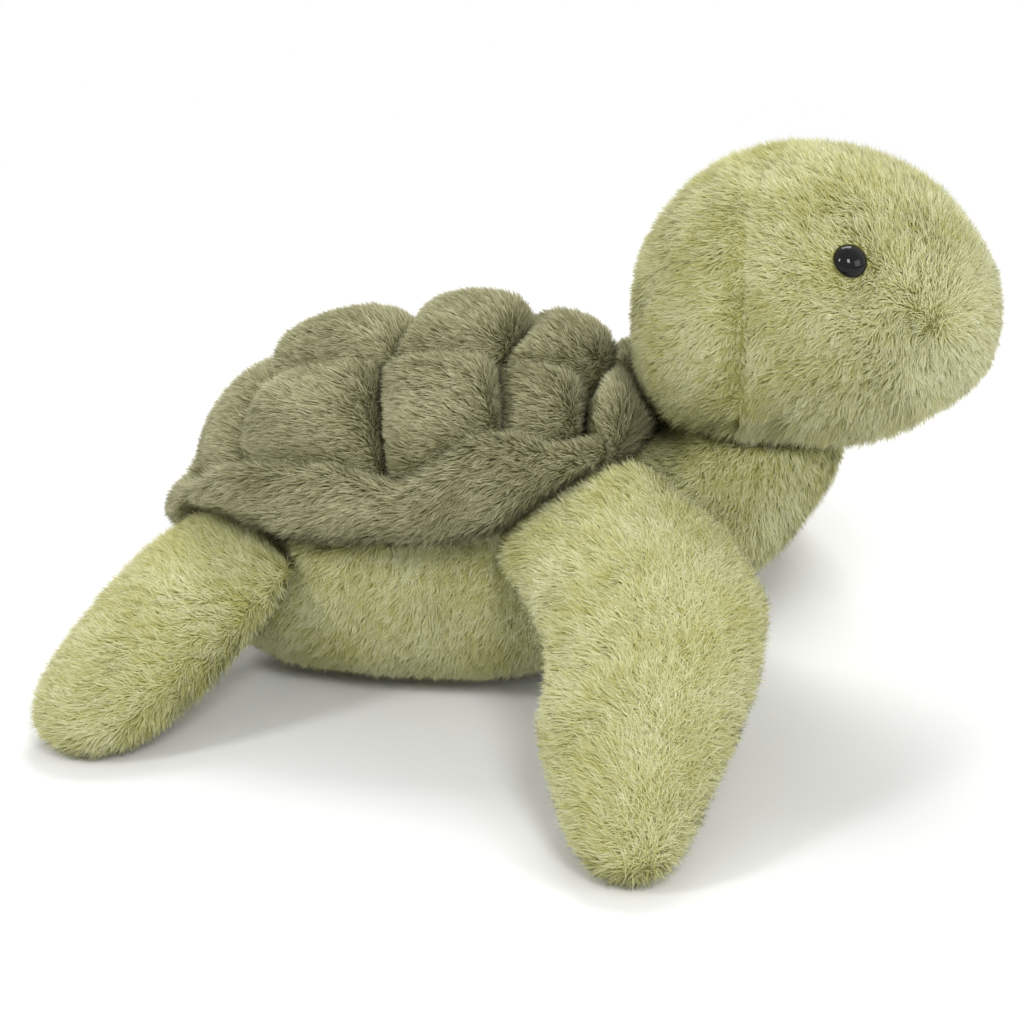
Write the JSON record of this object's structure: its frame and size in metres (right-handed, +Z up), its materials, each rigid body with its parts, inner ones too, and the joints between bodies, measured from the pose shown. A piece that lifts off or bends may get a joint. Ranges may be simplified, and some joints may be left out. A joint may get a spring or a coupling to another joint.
{
  "type": "plush turtle",
  "caption": "Plush sea turtle with a raised head, glossy safety eyes, spread flippers and a quilted darker shell with a padded wavy rim, lying on its belly.",
  "frame": {"origin": "on the flat resting face under the belly, on the mid plane", "axes": "+X towards the nose, +Y towards the left flippers, +Z up; it spans furthest along Y, from front flipper tip to front flipper tip"},
  "size_m": [0.3183, 0.3876, 0.1908],
  "materials": {
    "green_pile": "long soft pile, pale green",
    "shell_pile": "long soft pile, dark grey-green",
    "stuffing": "white polyester wadding",
    "pouch_cloth": "plain woven pouch filled with beads",
    "lining": "plain knitted backing",
    "eye_black": "polished black",
    "washer_white": "moulded natural plastic"
  },
  "bodies": {
    "body": {"body_cover_right": "green_pile", "body_cover_left": "green_pile", "belly_panel": "green_pile", "body_stuffing": "stuffing", "bean_pouch": "pouch_cloth", "shell_stuffing": "stuffing", "shell_underside": "lining", "spine_scute_rear": "shell_pile", "spine_scute_middle": "shell_pile", "spine_scute_front": "shell_pile", "side_scute_rear_right": "shell_pile", "side_scute_rear_left": "shell_pile", "side_scute_middle_right": "shell_pile", "side_scute_middle_left": "shell_pile", "side_scute_front_right": "shell_pile", "side_scute_front_left": "shell_pile", "tail_scute": "shell_pile", "shell_collar": "shell_pile", "shell_rim_right": "shell_pile", "shell_rim_left": "shell_pile"},
    "neck": {"neck_stuffing": "stuffing"},
    "head": {"face_cover": "green_pile", "head_back_cover": "green_pile", "head_stuffing": "stuffing", "eye_right": "eye_black", "eye_left": "eye_black", "eye_washer_right": "washer_white", "eye_washer_left": "washer_white"},
    "front_flipper_right": {"front_flipper_right_top": "green_pile", "front_flipper_right_bottom": "green_pile", "front_flipper_right_stuffing": "stuffing"},
    "front_flipper_left": {"front_flipper_left_top": "green_pile", "front_flipper_left_bottom": "green_pile", "front_flipper_left_stuffing": "stuffing"},
    "rear_flipper_right": {"rear_flipper_right_top": "green_pile", "rear_flipper_right_bottom": "green_pile", "rear_flipper_right_stuffing": "stuffing"},
    "rear_flipper_left": {"rear_flipper_left_top": "green_pile", "rear_flipper_left_bottom": "green_pile", "rear_flipper_left_stuffing": "stuffing"}
  },
  "joints": [
    {"name": "head_turn", "type": "hinge", "parent": "body", "child": "neck", "pos_m": [0.117, 0, 0.092], "axis": [0, 0, 1], "range_deg": [-20, 20], "stiffness_Nm_per_rad": 1},
    {"name": "head_nod", "type": "hinge", "parent": "neck", "child": "head", "pos_m": [0.117, 0, 0.092], "axis": [0, 1, 0], "range_deg": [-8, 10], "stiffness_Nm_per_rad": 2},
    {"name": "front_flipper_right_flap", "type": "hinge", "parent": "body", "child": "front_flipper_right", "pos_m": [0.062, -0.054, 0.078], "axis": [-0.8603, -0.1986, -0.4695], "range_deg": [-25, 18], "stiffness_Nm_per_rad": 1},
    {"name": "front_flipper_left_flap", "type": "hinge", "parent": "body", "child": "front_flipper_left", "pos_m": [0.062, 0.054, 0.078], "axis": [0.8603, -0.1986, 0.4695], "range_deg": [-25, 18], "stiffness_Nm_per_rad": 1},
    {"name": "rear_flipper_right_flap", "type": "hinge", "parent": "body", "child": "rear_flipper_right", "pos_m": [-0.05, -0.051, 0.055], "axis": [-0.6607, 0.6841, 0.309], "range_deg": [-25, 18], "stiffness_Nm_per_rad": 1},
    {"name": "rear_flipper_left_flap", "type": "hinge", "parent": "body", "child": "rear_flipper_left", "pos_m": [-0.05, 0.051, 0.055], "axis": [0.6607, 0.6841, -0.309], "range_deg": [-25, 18], "stiffness_Nm_per_rad": 1}
  ]
}
